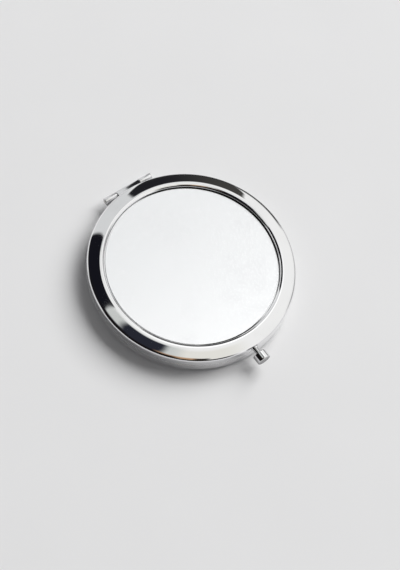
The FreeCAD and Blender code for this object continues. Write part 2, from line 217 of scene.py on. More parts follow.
class Outline:
    """A section drawn by a moving tip, x outwards and z up, in millimetres."""

    def __init__(self, x, z):
        self.mesh = bmesh.new()
        self.start = (x, z)
        self.tip = self.mesh.verts.new(Vector((x, 0, z)) * MM)

    def to(self, x, z):
        """Straight run, with a narrow strip at both ends so that the run between is shaded flat."""
        here = self.tip.co.copy()
        run = Vector((x, 0, z)) * MM - here
        strip = min(STRIP * MM, run.length / 4)
        for reach in (strip, run.length - strip, run.length):
            drawn = bmesh.ops.extrude_vert_indiv(self.mesh, verts=[self.tip])
            self.tip = drawn["verts"][0]
            self.tip.co = here + run.normalized() * reach

    def arc(self, x, z, degrees, steps):
        """Arc about a centre, clockwise with x to the right and z up."""
        drawn = bmesh.ops.spin(
            self.mesh,
            geom=[self.tip],
            cent=Vector((x, 0, z)) * MM,
            axis=(0, 1, 0),
            angle=math.radians(degrees),
            steps=steps,
        )
        self.tip = drawn["geom_last"][0]

    def close(self):
        """Run back to the start; gives the finished outline."""
        self.to(*self.start)
        bmesh.ops.remove_doubles(self.mesh, verts=self.mesh.verts, dist=MERGE)
        return self


def cleaned(mesh):
    """Merges doubles and turns the faces outwards."""
    bmesh.ops.remove_doubles(mesh, verts=mesh.verts, dist=MERGE)
    bmesh.ops.recalc_face_normals(mesh, faces=mesh.faces)
    return mesh


def eased(mesh, width, reach=EVERYWHERE):
    """Rounds the sharp edges nearer the axis than reach by a small width, both in millimetres."""
    sharp = [edge for edge in mesh.edges if edge.is_manifold and edge.calc_face_angle() > SHARP]
    near = [edge for edge in sharp if edge.verts[0].co.xy.length < reach * MM]
    bmesh.ops.bevel(
        mesh,
        geom=near,
        offset=width * MM,
        offset_type="OFFSET",
        affect="EDGES",
        segments=3,
        profile=0.5,
        material=-1,
    )
    return mesh


def placed(mesh, degrees, axis, z=0.0):
    """Turns a mesh about an axis of the frame, then lifts it by millimetres."""
    turn = Matrix.Rotation(math.radians(degrees), 3, axis)
    bmesh.ops.rotate(mesh, verts=mesh.verts, cent=(0, 0, 0), matrix=turn)
    bmesh.ops.translate(mesh, verts=mesh.verts, vec=(0, 0, z * MM))
    return mesh


def turned(section, steps=AROUND):
    """Section spun all the way round the upright axis."""
    mesh = section.mesh
    bmesh.ops.spin(
        mesh,
        geom=mesh.verts[:] + mesh.edges[:],
        cent=(0, 0, 0),
        axis=(0, 0, 1),
        angle=2 * math.pi,
        steps=steps,
        use_merge=True,
    )
    return cleaned(mesh)


def sector(section, start, end, steps, ease=0.0, reach=EVERYWHERE):
    """Closed section spun between two angles in degrees, with flat ends.

    Its sharp edges nearer the axis than reach are eased before the ends are filled.
    """
    mesh = placed(section.mesh, start, "Z")
    bmesh.ops.spin(
        mesh,
        geom=mesh.verts[:] + mesh.edges[:],
        cent=(0, 0, 0),
        axis=(0, 0, 1),
        angle=math.radians(end - start),
        steps=steps,
    )
    if ease:
        eased(cleaned(mesh), ease, reach)
    bmesh.ops.holes_fill(mesh, edges=mesh.edges, sides=0)
    return cleaned(mesh)


def drawn_out(section, near, far):
    """Closed section made a prism between two values of y."""
    mesh = section.mesh
    flat = bmesh.ops.edgeloop_fill(mesh, edges=mesh.edges)["faces"]
    bmesh.ops.translate(mesh, verts=mesh.verts, vec=(0, near * MM, 0))
    drawn = bmesh.ops.extrude_face_region(mesh, geom=flat)["geom"]
    moved = [part for part in drawn if isinstance(part, bmesh.types.BMVert)]
    bmesh.ops.translate(mesh, verts=moved, vec=(0, (far - near) * MM, 0))
    bmesh.ops.holes_fill(mesh, edges=mesh.edges, sides=0)
    return cleaned(mesh)


def joined(first, *others):
    """Puts several meshes into the first."""
    for other in others:
        carried = bpy.data.meshes.new("carried")
        other.to_mesh(carried)
        other.free()
        first.from_mesh(carried)
        bpy.data.meshes.remove(carried)
    return first


def piece(name, node, mesh, finish):
    """Object that stands for a CAD node, on that node's body and with a given finish."""
    for face in mesh.faces:
        face.smooth = True
    data = bpy.data.meshes.new(name)
    mesh.to_mesh(data)
    mesh.free()
    data.set_sharp_from_angle(angle=SHARP)
    data.materials.append(finish)
    made = bpy.data.objects.new(name, data)
    bpy.context.scene.collection.objects.link(made)
    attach(made, BODY[node])
    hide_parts(node)
    return made


class Value:
    """A node's output, for use in expressions."""

    def __init__(self, finish, socket):
        self.finish = finish
        self.socket = socket

    def __add__(self, other):
        return self.finish.maths("ADD", self, other)

    def __radd__(self, other):
        return self.finish.maths("ADD", other, self)

    def __sub__(self, other):
        return self.finish.maths("SUBTRACT", self, other)

    def __rsub__(self, other):
        return self.finish.maths("SUBTRACT", other, self)

    def __mul__(self, other):
        return self.finish.maths("MULTIPLY", self, other)

    def __rmul__(self, other):
        return self.finish.maths("MULTIPLY", other, self)


class Finish:
    """Node tree of a material or of the world."""

    def __init__(self, owner, shader):
        owner.use_nodes = True
        self.owner = owner
        self.tree = owner.node_tree
        self.shader = self.tree.nodes[shader]

    def fill(self, node, sockets):
        """Links or sets a node's sockets."""
        for name, value in sockets.items():
            if isinstance(value, Value):
                self.tree.links.new(value.socket, node.inputs[name])
            else:
                node.inputs[name].default_value = value

    def add(self, kind, settings, sockets, output=0):
        """Adds a node: its settings first, then the values or links of its sockets."""
        node = self.tree.nodes.new(kind)
        for name, value in settings.items():
            setattr(node, name, value)
        self.fill(node, sockets)
        return Value(self, node.outputs[output])

    def maths(self, operation, a, b):
        """Number from one or two numbers."""
        return self.add("ShaderNodeMath", {"operation": operation}, {0: a, 1: b})

    def vector(self, operation, sockets, output=0):
        """Vector, or a number by name, from one or two vectors."""
        return self.add("ShaderNodeVectorMath", {"operation": operation}, sockets, output)

    def dot(self, a, b):
        """Dot product of two vectors."""
        return self.vector("DOT_PRODUCT", {0: a, 1: b}, "Value")

    def flattened(self, vector, kept):
        """Vector with only the axes that are kept."""
        return self.vector("MULTIPLY", {0: vector, 1: kept})

    def length(self, vector):
        """Length of a vector."""
        return self.vector("LENGTH", {0: vector}, "Value")

    def band(self, value, low, high):
        """0 below low, 1 above high, smooth between."""
        sockets = {"Value": value, "From Min": low, "From Max": high}
        return self.add("ShaderNodeMapRange", {"interpolation_type": "SMOOTHSTEP"}, sockets)

    def mix(self, share, a, b):
        """Colour between a and b."""
        return self.add("ShaderNodeMix", {"data_type": "RGBA"}, {0: share, 6: a, 7: b}, 2)

    def place(self):
        """Where on the object it is, in metres."""
        return self.add("ShaderNodeTexCoord", {}, {}, "Object")

    def place_along(self, axis):
        """Where on one axis it is, in metres."""
        return self.add("ShaderNodeSeparateXYZ", {}, {"Vector": self.place()}, axis)

    def noise(self, scale, detail, stretch=(1, 1, 1), turn=0.0):
        """Noise with so many features to the metre, stretched and turned about the upright axis."""
        settings = {"vector_type": "TEXTURE"}
        sockets = {"Vector": self.place(), "Scale": stretch, "Rotation": (0, 0, turn)}
        spot = self.add("ShaderNodeMapping", settings, sockets)
        return self.add("ShaderNodeTexNoise", {}, {"Vector": spot, "Scale": scale, "Detail": detail})

    def bump(self, height, depth):
        """Normal from a height between 0 and 1 and a depth in millimetres."""
        return self.add("ShaderNodeBump", {}, {"Height": height, "Distance": depth * MM}, "Normal")


def surface(name):
    """New material, for a finish."""
    return Finish(bpy.data.materials.new(name), "Principled BSDF")


def shade(colour, level):
    """Colour made lighter or darker."""
    return (colour[0] * level, colour[1] * level, colour[2] * level, 1.0)


def painted_groove_shade(metal):
    """1 in the groove round the disc on two sides, where shade is painted dark."""
    flat = metal.flattened(metal.place(), FROM_ABOVE)
    reach = metal.length(flat)
    up = metal.place_along("Z")
    way = metal.vector("NORMALIZE", {0: flat})

    def side(azimuth, low, high):
        """1 on the side that faces an azimuth."""
        return metal.band(metal.dot(way, direction(azimuth)), low, high)

    sides = metal.maths("MAXIMUM", side(*SHADE_BACK), side(*SHADE_FRONT))
    outside = metal.band(reach, GROOVE_INNER * MM, (GROOVE_INNER + GROOVE_INNER_FADE) * MM)
    inside = 1 - metal.band(reach, GROOVE_OUTER * MM, (GROOVE_OUTER + GROOVE_OUTER_FADE) * MM)
    lowered = up - side(*SHADE_TALLEST) * (SHADE_RISE * MM)
    below = 1 - metal.band(lowered, GROOVE_TOP * MM, (GROOVE_TOP + GROOVE_TOP_FADE) * MM)
    return outside * inside * below * sides


def polished_metal(name, colour, roughness, haze=0.0, groove_shade=0.0):
    """Bright metal with hairlines, finger marks and ripple, any haze, and any painted shade in the
    groove round the disc.
    """
    metal = surface(name)
    marks = metal.band(metal.noise(75, 4.0), 0.5, 0.75)
    hairs = metal.band(metal.noise(2600, 1.0, stretch=(1, 24, 24), turn=0.6), *HAIRLINE)
    more_hairs = metal.band(metal.noise(2600, 1.0, stretch=(24, 1, 24), turn=0.25), *HAIRLINE)
    scratches = (hairs + more_hairs) * 0.5
    ripple = metal.noise(140, 1.0)
    tone = metal.mix(marks, shade(colour, 1.0), shade(colour, 0.96))
    rough = roughness + marks * 0.04 + scratches * 0.05
    # Painted shade: the groove round the disc is painted dark on two sides
    if groove_shade:
        painted_shade = painted_groove_shade(metal) * groove_shade
        tone = metal.mix(painted_shade, tone, GROOVE_SHADE_TONE)
        rough = rough + painted_shade * 0.25
    metal.fill(
        metal.shader,
        {
            "Base Color": tone,
            "Metallic": 1 - haze * (marks * 0.15 + 1) if haze else 1.0,
            "Roughness": rough,
            "Normal": metal.bump(ripple + scratches * 0.02, 0.012),
        },
    )
    return metal.owner


def turned_metal(name, colour, face):
    """Polished turned metal with fine tool marks on its end beyond a value of y; its underside and its
    end are painted darker as shade.
    """
    metal = surface(name)
    groove_width = 0.09
    face_fade = 0.04
    shade_low = BUTTON_Z - 0.2
    shade_high = BUTTON_Z + 1.8
    end = 1 - metal.band(metal.place_along("Y"), (face - face_fade) * MM, face * MM)
    across = metal.vector("SUBTRACT", {0: metal.place(), 1: (0, 0, BUTTON_Z * MM)})
    reach = metal.length(metal.flattened(across, FROM_FRONT))
    grooves = metal.maths("SINE", reach * (2 * math.pi / (groove_width * MM)), 0.0) * 0.5 + 0.5
    marks = metal.band(metal.noise(900, 3.0), 0.45, 0.75)
    # Painted shade: the underside of the button is painted darker
    painted_shade_under = 1 - metal.band(metal.place_along("Z"), shade_low * MM, shade_high * MM)
    side = metal.mix(painted_shade_under * 0.8, shade(colour, 1.0), shade(colour, 0.25))
    # Painted shade: the end face is painted darker, darkest underneath
    shaded_end = metal.mix(painted_shade_under, shade(colour, 0.38), shade(colour, 0.2))
    metal.fill(
        metal.shader,
        {
            "Base Color": metal.mix(end * (grooves * 0.2 + 0.8), side, shaded_end),
            "Metallic": 1.0,
            "Roughness": 0.03 + marks * 0.04 + end * 0.2,
            "Normal": metal.bump(grooves * end, 0.004),
        },
    )
    return metal.owner


def silvered_glass():
    """Mirror glass with a wiped film of powder, a little dust, and a ground green-grey edge."""
    glass = surface("silvered_glass")
    dust = glass.band(glass.noise(4200, 1.0), 0.7, 0.78)
    wipe = glass.band(glass.noise(60, 3.0, stretch=(1, 4, 1), turn=0.5), 0.3, 0.8)
    reach = glass.length(glass.flattened(glass.place(), FROM_ABOVE))
    edge = glass.band(reach, MIRROR_EDGE * MM, (MIRROR_EDGE + 0.05) * MM)
    face = glass.mix(dust * 0.4, shade(COLOUR["mirror_glass"], 1.0), DUST_TONE)
    glass.fill(
        glass.shader,
        {
            "Base Color": glass.mix(edge, face, GROUND_EDGE_TONE),
            "Metallic": 0.95 - wipe * 0.06 - edge * 0.7,
            "Roughness": 0.008 + dust * 0.2 + wipe * 0.012 + edge * 0.35,
            "Coat Weight": 0.6,
            "Coat Roughness": 0.01,
        },
    )
    return glass.owner


def silver_moulding():
    """Gloss plastic with silver flake, flow clouds and fine scuffs."""
    moulding = surface("silver_moulding")
    flake = moulding.noise(5200, 0.0)
    cloud = moulding.noise(110, 3.0)
    scuff = moulding.band(moulding.noise(1500, 2.0, stretch=(1, 10, 10), turn=0.9), 0.66, 0.8)
    colour = COLOUR["ring_plastic"]
    tone = moulding.mix(flake, shade(colour, 0.86), shade(colour, 1.1))
    moulding.fill(
        moulding.shader,
        {
            "Base Color": moulding.mix(cloud * 0.3, tone, shade(colour, 0.9)),
            "Metallic": 0.55,
            "Roughness": 0.2 + cloud * 0.08 + scuff * 0.06,
            "Normal": moulding.bump(flake + cloud, 0.006),
            "Coat Weight": 0.35,
            "Coat Roughness": 0.08,
        },
    )
    return moulding.owner


def bright_steel():
    """Zinc-plated steel with drawing lines along X and a patchy passivated tone."""
    steel = surface("bright_steel")
    lines = steel.noise(5000, 2.0, stretch=(30, 1, 1))
    patch = steel.noise(420, 3.0)
    colour = COLOUR["latch_steel"]
    warm = (colour[0] * 1.04, colour[1] * 0.99, colour[2] * 0.9, 1.0)
    tone = steel.mix(steel.band(patch, 0.4, 0.7), shade(colour, 1.05), warm)
    steel.fill(
        steel.shader,
        {
            "Base Color": steel.mix(lines * 0.4, tone, shade(colour, 0.75)),
            "Metallic": 1.0,
            "Roughness": 0.2 + lines * 0.14 + patch * 0.08,
            "Normal": steel.bump(lines, 0.008),
        },
    )
    return steel.owner


def foam():
    """Closed-cell foam of the bonding pads."""
    pad = surface("pad_foam")
    cells = pad.add("ShaderNodeTexVoronoi", {}, {"Vector": pad.place(), "Scale": 3600.0})
    cloud = pad.noise(260, 2.0)
    colour = COLOUR["bonding_pad"]
    pad.fill(
        pad.shader,
        {
            "Base Color": pad.mix(cells * 0.5 + cloud * 0.3, shade(colour, 1.0), shade(colour, 0.78)),
            "Roughness": 0.86 + cloud * 0.1,
            "Normal": pad.bump(cells, 0.06),
        },
    )
    return pad.owner


def adhesive():
    """Thin adhesive film with trapped bubbles and a faint weave of its carrier."""
    film = surface("adhesive_film")
    bubbles = film.band(film.noise(700, 1.0), 0.62, 0.7)
    carrier = film.noise(4000, 1.0, stretch=(1, 5, 1))
    colour = COLOUR["bonding_film"]
    marks = bubbles * 0.5 + carrier * 0.3
    film.fill(
        film.shader,
        {
            "Base Color": film.mix(marks, shade(colour, 1.0), shade(colour, 0.85)),
            "Roughness": 0.5 + carrier * 0.2 - bubbles * 0.15,
            "Normal": film.bump(carrier + bubbles, 0.01),
        },
    )
    return film.owner


def rim(section, crest, side, edge):
    """Bevel, wall and the way back inside it; side is 1 with the crest on top and -1 with it below."""
    wide = (BEVEL_START, crest - side * BEVEL_ARC)
    tight = (CASE_RADIUS - CORNER, crest - side * BEVEL_DROP)
    section.arc(*wide, side * BEVEL_TURN, steps=14)
    section.arc(*tight, side * (90 - BEVEL_TURN), steps=14)
    section.to(CASE_RADIUS, edge)
    section.to(CASE_RADIUS - SHEET, edge)
    section.to(CASE_RADIUS - SHEET, crest - side * BEVEL_DROP)
    section.arc(*tight, -side * (90 - BEVEL_TURN), steps=6)
    section.arc(*wide, -side * BEVEL_TURN, steps=6)


def pierced(mesh, half):
    """Cuts a square hole for the button's neck through the front wall; half its width is given."""

    def front_wall():
        faces = []
        for face in mesh.faces:
            x, y, z = face.calc_center_median() / MM
            if y < SHEET * 2 - CASE_RADIUS and abs(x) < 2 * half and abs(z - BUTTON_Z) < half:
                faces.append(face)
        return faces

    for normal in (Vector((1, 0, 0)), Vector((-1, 0, 0)), Vector((0, 0, 1)), Vector((0, 0, -1))):
        faces = front_wall()
        edges = {edge for face in faces for edge in face.edges}
        verts = {vert for face in faces for vert in face.verts}
        bmesh.ops.bisect_plane(
            mesh,
            geom=faces + list(edges) + list(verts),
            dist=ON_CUT,
            plane_co=(Vector((0, 0, BUTTON_Z)) + normal * half) * MM,
            plane_no=normal,
        )
    hole = [face for face in front_wall() if abs(face.calc_center_median().x) < half * MM]
    bmesh.ops.delete(mesh, geom=hole, context="FACES")
    bmesh.ops.bridge_loops(mesh, edges=[edge for edge in mesh.edges if edge.is_boundary])
    bmesh.ops.recalc_face_normals(mesh, faces=mesh.faces)
    return mesh


def lid_pressing():
    """Upper half: recess, rolled lip, bevelled rim and wall, pierced for the button."""
    crest = LID_HIGH.z
    floor = corners("insert_film")[0].z
    bend = (RECESS_RADIUS - RECESS_BEND, floor + RECESS_BEND)
    lip = (RECESS_RADIUS + LIP, crest - LIP)
    section = Outline(0, floor)
    section.to(bend[0], floor)
    section.arc(*bend, -90, steps=6)
    section.to(RECESS_RADIUS, lip[1])
    section.arc(*lip, 90, steps=12)
    section.to(BEVEL_START, crest)
    rim(section, crest, 1, LID_LOW.z)
    section.to(lip[0], crest - SHEET)
    section.arc(*lip, -90, steps=4)
    section.to(RECESS_RADIUS + SHEET, bend[1])
    section.arc(*bend, 90, steps=6)
    section.to(0, floor - SHEET)
    return pierced(eased(turned(section), SHEET_EASE), NECK + NECK_ROOM)


def base_pressing():
    """Lower half: flat bottom, bevel and wall."""
    section = Outline(0, 0)
    section.to(BEVEL_START, 0)
    rim(section, 0, -1, BASE_EDGE)
    section.to(0, SHEET)
    return eased(turned(section), SHEET_EASE)


def flat_disc(node, ease):
    """Disc that fills a node's box, with eased edges."""
    low, high = corners(node)
    section = Outline(0, high.z)
    section.to(high.x, high.z)
    section.to(high.x, low.z)
    section.to(0, low.z)
    return eased(turned(section), ease)


def dished_glass():
    """Glass dished on both faces, with a ground edge."""
    low, high = corners("magnifying_mirror")
    face = low.z + GLASS
    dish = high.z - face
    curve = (high.x**2 + dish**2) / (2 * dish)
    section = Outline(0, face)
    section.arc(0, face + curve, -half_angle(high.x, curve), steps=24)
    section.to(high.x, high.z - GLASS)
    section.arc(0, face + curve, half_angle(high.x, curve + GLASS), steps=24)
    return eased(turned(section), GLASS_EASE)


def magnifier_cushion():
    """Pad whose top follows the dished glass."""
    low, high = corners("magnifier_pad")
    glass_low, glass_high = corners("magnifying_mirror")
    dish = glass_high.z - glass_low.z - GLASS
    curve = (glass_high.x**2 + dish**2) / (2 * dish) + GLASS
    section = Outline(0, low.z)
    section.to(high.x, low.z)
    section.to(high.x, high.z)
    section.arc(0, glass_low.z + curve, half_angle(high.x, curve), steps=24)
    return turned(section)


def ring_section(face, back, outer, hollow=None):
    """Section of a ring: lip on the glass, slope and flat face; hollow behind from a radius on."""
    way = math.copysign(1, face - back)
    section = Outline(RING_INSIDE, back)
    section.to(RING_INSIDE, back + way * RING_LIP)
    section.to(RING_INSIDE + RING_SLOPE, face)
    section.to(outer, face)
    if hollow:
        section.to(outer, face - way * POCKET_SKIN)
        section.to(hollow, face - way * POCKET_SKIN)
        section.to(hollow, back)
    else:
        section.to(outer, back)
    return section.close()


def notched_ring(face, back, front_room, pocket=None):
    """Ring that is set back behind the hinge and the latch, with flush arcs outside its full turn.

    A pocket behind its front has a radius where it starts and half a width there.
    """
    outer = CASE_RADIUS - SHEET - RING_ROOM
    hinge_half = half_angle(KNUCKLE_FAR + NOTCH, outer)
    front_half = half_angle(HOOK_HALF + NOTCH, front_room)
    arcs = [
        (HINGE_SIDE - hinge_half, HINGE_SIDE + hinge_half, STRAP_INSIDE - NOTCH, 24),
        (HINGE_SIDE + hinge_half, FRONT_SIDE - front_half, outer, 100),
        (FRONT_SIDE + front_half, HINGE_SIDE + 360 - hinge_half, outer, 100),
    ]
    whole = ring_section(face, back, front_room)
    inner_edges = front_room - RING_UNEASED
    if pocket:
        pocket_start, pocket_half = pocket
        half = half_angle(pocket_half, pocket_start)
        hollow = ring_section(face, back, front_room, pocket_start)
        start = FRONT_SIDE - half
        end = FRONT_SIDE + half
        made = [
            sector(whole, end - 360, start, steps=AROUND, ease=RING_EASE, reach=inner_edges),
            sector(hollow, start, end, steps=10, ease=RING_EASE, reach=inner_edges),
        ]
    else:
        made = [eased(turned(whole), RING_EASE, inner_edges)]
    for start, end, reach, steps in arcs:
        section = Outline(front_room, back)
        section.to(front_room, face)
        section.to(reach, face)
        section.to(reach, back)
        made.append(sector(section.close(), start, end, steps))
    return joined(*made)


def base_ring_moulding():
    """Ring of the lower mirror, set back behind the hooks."""
    low, high = corners("base_ring")
    room = -corners("catch_hook")[1].y + HOOK_NOSE - NOTCH
    return notched_ring(high.z, low.z, room)


def lid_ring_moulding():
    """Ring of the upper mirror, set back behind the latch's stroke, with a pocket for the spring."""
    low, high = corners("lid_ring")
    stroke = JOINT["button_press"]["range_m"][1] / MM
    room = -corners("latch_plate")[1].y - stroke - NOTCH
    seat = corners("spring_bracket")[1]
    return notched_ring(low.z, high.z, room, (-seat.y - NOTCH, seat.x + NOTCH))


def rolled_knuckle(side, x0, x1, slope=0):
    """Sheet rolled round the pin, with its strap through the wall above (1) or below (-1)."""
    bore = KNUCKLE - SHEET
    turn = math.radians(slope)
    pin = Vector((HINGE_Y, HINGE_Z))
    out = Vector((math.sin(turn), side * math.cos(turn)))
    wall_end = math.sqrt(STRAP_INSIDE**2 - max(abs(x0), abs(x1)) ** 2)
    strap = Vector((-1, side * math.tan(turn))) * (HINGE_Y - wall_end)
    section = Outline(*(pin + out * KNUCKLE + strap))
    section.to(*(pin + out * KNUCKLE))
    section.arc(*pin, side * KNUCKLE_ROLL, steps=40)
    lap = Vector(section.tip.co.xz) / MM - pin
    section.to(*(pin + lap * bore / KNUCKLE))
    section.arc(*pin, -side * KNUCKLE_ROLL, steps=40)
    section.to(*(pin + out * bore + strap))
    section.close()
    return eased(placed(drawn_out(section, -x1, -x0), 90, "Z"), KNUCKLE_EASE)


def flange(bottom, top, half):
    """Curved strip along the inside of the wall that the straps turn up or down into."""
    section = Outline(STRAP_INSIDE, bottom)
    section.to(STRAP_INSIDE, top)
    section.to(CASE_RADIUS - SHEET, top)
    section.to(CASE_RADIUS - SHEET, bottom)
    section.close()
    reach = half_angle(half, STRAP_INSIDE)
    return eased(sector(section, HINGE_SIDE - reach, HINGE_SIDE + reach, steps=24), SHEET_EASE)


def lid_leaf():
    """Centre knuckle, its sloped strap and the flange above it."""
    half = CENTRE_KNUCKLE / 2
    strip = flange(HINGE_Z + KNUCKLE - SHEET, corners("lid_hinge_leaf")[1].z, half)
    return joined(rolled_knuckle(1, -half, half, LID_STRAP_SLOPE), strip)


def base_leaf():
    """Two outer knuckles, their straps and the flange below them."""
    one = rolled_knuckle(-1, -KNUCKLE_FAR, -KNUCKLE_NEAR)
    other = rolled_knuckle(-1, KNUCKLE_NEAR, KNUCKLE_FAR)
    strip = flange(corners("base_hinge_leaf")[0].z, HINGE_Z - KNUCKLE + SHEET, KNUCKLE_FAR)
    return joined(one, other, strip)


def riveted_pin():
    """Pin with crowned ends."""
    low, high = corners("hinge_pin")
    radius = (high.z - low.z) / 2
    section = Outline(0, high.x)
    section.to(radius - PIN_CROWN, high.x)
    section.arc(radius - PIN_CROWN, high.x - PIN_CROWN, 90, steps=6)
    section.to(radius, low.x + PIN_CROWN)
    section.arc(radius - PIN_CROWN, low.x + PIN_CROWN, 90, steps=6)
    section.to(0, low.x)
    mesh = placed(turned(section, steps=48), 90, "Y")
    bmesh.ops.translate(mesh, verts=mesh.verts, vec=(0, HINGE_Y * MM, HINGE_Z * MM))
    return mesh


def turned_button():
    """Head with rounded edges, neck and spigot, turned on the button's axis."""
    low, high = corners("push_button")
    head = high.x
    shoulder = -corners("latch_plate")[0].y - TONGUE
    section = Outline(0, -low.y)
    section.to(head - HEAD_ROUND, -low.y)
    section.arc(head - HEAD_ROUND, -low.y - HEAD_ROUND, 90, steps=8)
    section.to(head, HEAD_BACK + HEAD_ROUND)
    section.arc(head - HEAD_ROUND, HEAD_BACK + HEAD_ROUND, 90, steps=8)
    section.to(NECK, HEAD_BACK)
    section.to(NECK, shoulder)
    section.to(SPIGOT, shoulder)
    section.to(SPIGOT, -high.y)
    section.to(0, -high.y)
    return placed(eased(turned(section, steps=72), TURNED_EASE), 90, "X", BUTTON_Z)


def flanged_bush():
    """Sleeve with a flange outside the wall, turned over inside it."""
    low, high = corners("button_bush")
    collar = high.x
    sleeve = collar - BUSH_FLANGE
    seat = CASE_RADIUS + BUSH_ROOM
    inside = math.sqrt((CASE_RADIUS - SHEET) ** 2 - collar**2) - BUSH_ROOM
    section = Outline(BUSH_BORE, -low.y)
    section.to(collar, -low.y)
    section.to(collar, seat)
    section.to(sleeve, seat)
    section.to(sleeve, inside)
    section.to(collar, inside)
    section.to(collar, -high.y)
    section.to(BUSH_BORE, -high.y)
    section.close()
    return placed(eased(turned(section, steps=64), BLOCK_EASE), 90, "X", BUTTON_Z)


def hook_pair():
    """Foot block on the wall and two uprights with noses that point inwards."""
    low, high = corners("catch_hook")
    foot_top = corners("base_ring")[1].z
    root = foot_top - HOOK_ROOT
    nose = -high.y
    inside = nose + HOOK_NOSE
    outside = inside + SHEET
    nose_low = high.z - SHEET
    wall = CASE_RADIUS - SHEET
    half_turn = half_angle(HOOK_HALF, wall)
    plan = Outline(-HOOK_HALF, inside)
    plan.to(-HOOK_HALF, wall * cosine(half_turn))
    plan.arc(0, 0, 2 * half_turn, steps=12)
    plan.to(HOOK_HALF, inside)
    plan.close()
    made = [eased(placed(drawn_out(plan, low.z, foot_top), 90, "X"), BLOCK_EASE)]
    for x0, x1 in HOOK_SPANS:
        side = Outline(outside, root)
        side.to(outside, high.z)
        side.to(inside, high.z)
        side.to(nose, nose_low + NOSE_EDGE)
        side.to(nose, nose_low)
        side.to(inside, nose_low)
        side.to(inside, root)
        side.close()
        made.append(eased(placed(drawn_out(side, x0, x1), -90, "Z"), HOOK_EASE))
    return joined(*made)


def tongued_plate():
    """Upright plate bent outwards at the bottom into two tongues."""
    low, high = corners("latch_plate")
    inner = -high.y
    outer = inner + SHEET
    tip = -low.y
    tongue_top = low.z + SHEET
    bend = (outer + PLATE_BEND, tongue_top + PLATE_BEND)
    made = []
    for x0, x1 in HOOK_SPANS:
        bent = Outline(tip, low.z)
        bent.to(bend[0], low.z)
        bent.arc(*bend, 90, steps=8)
        bent.to(inner, high.z)
        bent.to(outer, high.z)
        bent.to(outer, bend[1])
        bent.arc(*bend, -90, steps=4)
        bent.to(tip, tongue_top)
        bent.close()
        made.append(eased(placed(drawn_out(bent, x0, x1), -90, "Z"), SHEET_EASE))
    middle = Outline(inner, tongue_top)
    middle.to(inner, high.z)
    middle.to(outer, high.z)
    middle.to(outer, tongue_top)
    middle.close()
    made.append(eased(placed(drawn_out(middle, -HOOK_OPENING, HOOK_OPENING), -90, "Z"), SHEET_EASE))
    return joined(*made)


def coil():
    """Open coil of round wire on the button's axis."""
    low, high = corners("button_spring")
    radius = high.x - SPRING_WIRE / 2
    steps = round(SPRING_TURNS * SPRING_STEPS)
    advance = (high.y - low.y - SPRING_WIRE) / steps
    start = Vector((radius, low.y + SPRING_WIRE / 2, BUTTON_Z))
    mesh = bmesh.new()
    bmesh.ops.create_circle(mesh, segments=12, radius=SPRING_WIRE / 2 * MM)
    bmesh.ops.translate(mesh, verts=mesh.verts, vec=start * MM)
    bmesh.ops.spin(
        mesh,
        geom=mesh.verts[:] + mesh.edges[:],
        cent=Vector((0, 0, BUTTON_Z)) * MM,
        axis=(0, -1, 0),
        dvec=(0, advance * MM, 0),
        angle=2 * math.pi * SPRING_TURNS,
        steps=steps,
    )
    bmesh.ops.holes_fill(mesh, edges=mesh.edges, sides=0)
    return cleaned(mesh)


def seat_bracket():
    """Upright plate under the recess with an ear on each side."""
    low, high = corners("spring_bracket")
    back = -high.y
    front = back + SHEET
    ear = -low.y
    spans = [
        (low.x, low.x + EAR, ear),
        (low.x + EAR, high.x - EAR, front),
        (high.x - EAR, high.x, ear),
    ]
    made = []
    for x0, x1, reach in spans:
        side = Outline(back, low.z)
        side.to(back, high.z)
        side.to(reach, high.z)
        if reach > front:
            side.to(reach, high.z - SHEET)
            side.to(front, high.z - SHEET)
        side.to(front, low.z)
        side.close()
        made.append(eased(placed(drawn_out(side, x0, x1), -90, "Z"), FINE_EASE))
    return joined(*made)


def spring_washer():
    """Flat washer on the spigot."""
    low, high = corners("retaining_washer")
    bore = SPIGOT + SPIGOT_ROOM
    section = Outline(bore, -low.y)
    section.to(high.x, -low.y)
    section.to(high.x, -high.y)
    section.to(bore, -high.y)
    section.close()
    return placed(eased(turned(section, steps=48), FINE_EASE), 90, "X", BUTTON_Z)


PLATED = COLOUR["polished_case"]
BRIGHTENED = [1.04 * part for part in COLOUR["polished_disc"]]
CHROME = polished_metal("chrome_plate", PLATED, roughness=0.03)
# The lid and the disc get painted shade in the groove round the disc
LID_CHROME = polished_metal("lid_plate", PLATED, roughness=0.03, groove_shade=0.9)
DISC_POLISH = polished_metal("disc_polish", BRIGHTENED, roughness=0.12, haze=0.5, groove_shade=0.9)
LEAF_POLISH = polished_metal("leaf_plate", PLATED, roughness=0.14)
KNUCKLE_POLISH = polished_metal("knuckle_plate", PLATED, roughness=0.2, haze=0.3)
BUTTON_POLISH = turned_metal("button_plate", PLATED, BUTTON_FACE)
MIRROR = silvered_glass()
SILVER = silver_moulding()
STEEL = bright_steel()
FOAM = foam()
FILM = adhesive()

piece("lid_pressing", "lid_shell", lid_pressing(), LID_CHROME)
piece("base_pressing", "base_shell", base_pressing(), CHROME)
piece("insert_plate", "insert_disc", flat_disc("insert_disc", DISC_EASE), DISC_POLISH)
piece("insert_adhesive", "insert_film", flat_disc("insert_film", FILM_EASE), FILM)
piece("flat_glass", "plain_mirror", flat_disc("plain_mirror", GLASS_EASE), MIRROR)
piece("curved_glass", "magnifying_mirror", dished_glass(), MIRROR)
piece("flat_glass_pad", "mirror_pad", flat_disc("mirror_pad", PAD_EASE), FOAM)
piece("curved_glass_pad", "magnifier_pad", magnifier_cushion(), FOAM)
piece("lid_moulding", "lid_ring", lid_ring_moulding(), SILVER)
piece("base_moulding", "base_ring", base_ring_moulding(), SILVER)
piece("lid_leaf", "lid_hinge_leaf", lid_leaf(), LEAF_POLISH)
piece("base_leaf", "base_hinge_leaf", base_leaf(), KNUCKLE_POLISH)
